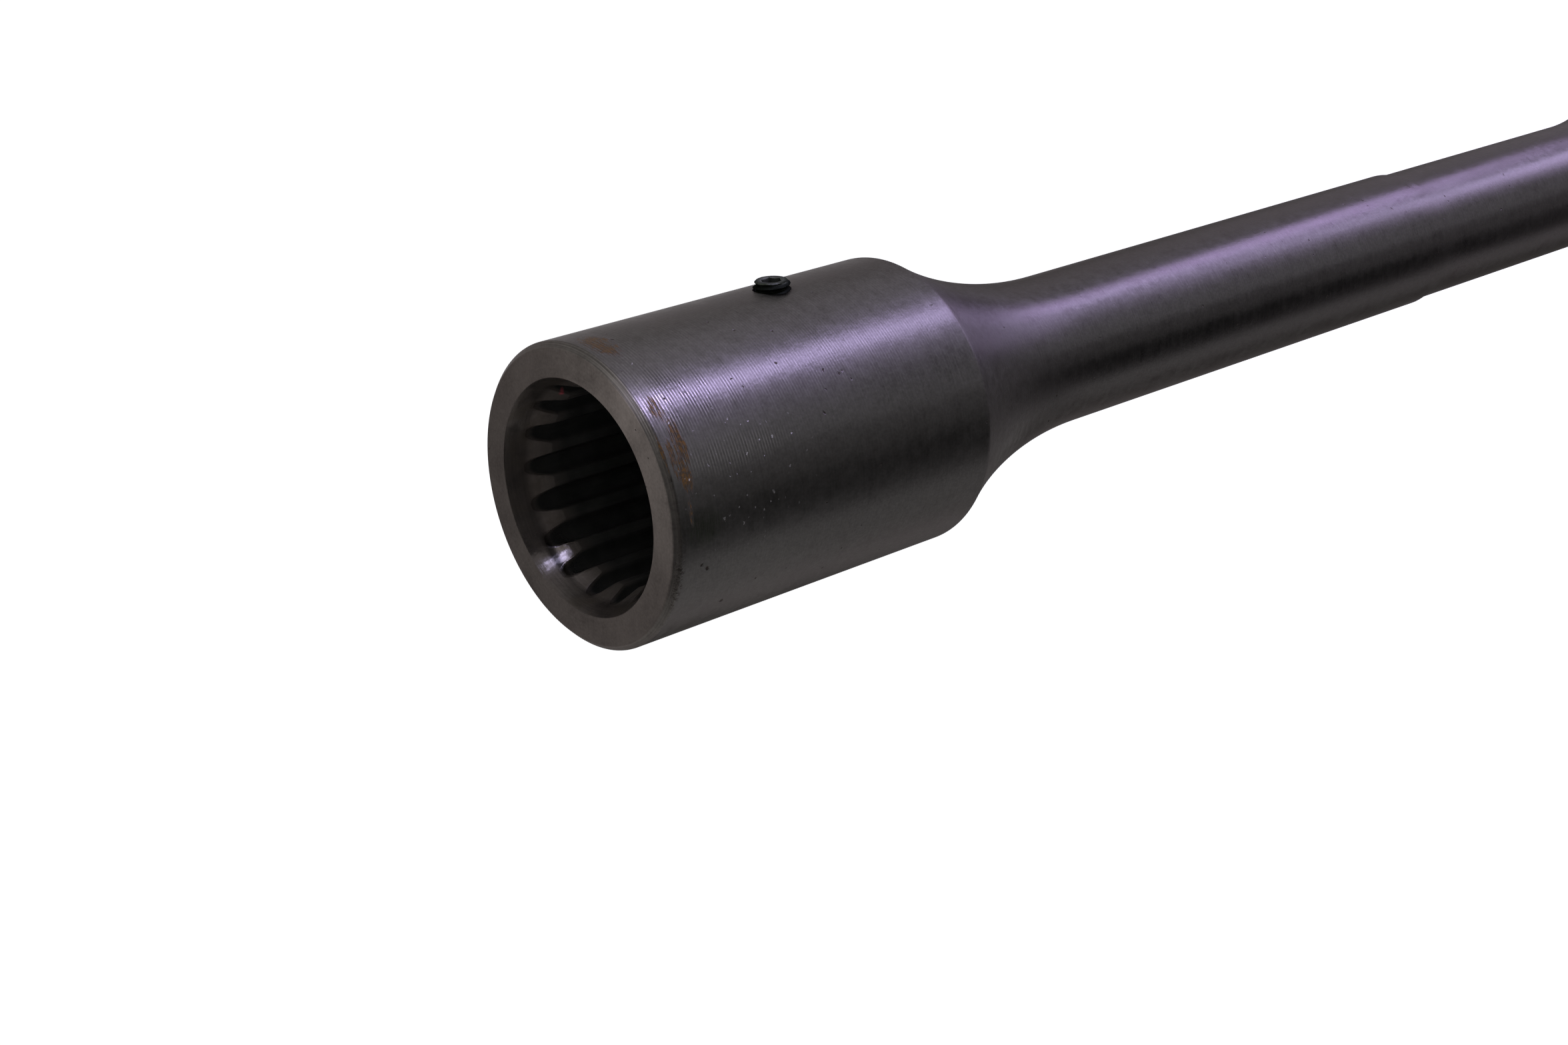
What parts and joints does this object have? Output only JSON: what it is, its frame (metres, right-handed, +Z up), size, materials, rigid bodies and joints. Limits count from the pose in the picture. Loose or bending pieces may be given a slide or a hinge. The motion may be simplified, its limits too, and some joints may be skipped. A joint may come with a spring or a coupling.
{
  "type": "splined drive shaft",
  "caption": "Turned steel drive shaft: a slim round shaft between cylindrical heads, each with an internally splined socket, with a small set screw in one head.",
  "frame": {"origin": "centre of the lower end face, on the shaft's axis", "axes": "+Z up the shaft's axis towards the head with the set screw; +X from the axis through the set screw"},
  "size_m": [0.0412, 0.04, 0.305],
  "materials": {
    "turned_steel": "bare dark steel with fine lathe feed marks, light rust spots by the front edge",
    "black_oxide_steel": "black oxide, satin"
  },
  "bodies": {
    "root": {"drive_shaft": "turned_steel", "set_screw": "black_oxide_steel"}
  },
  "joints": []
}
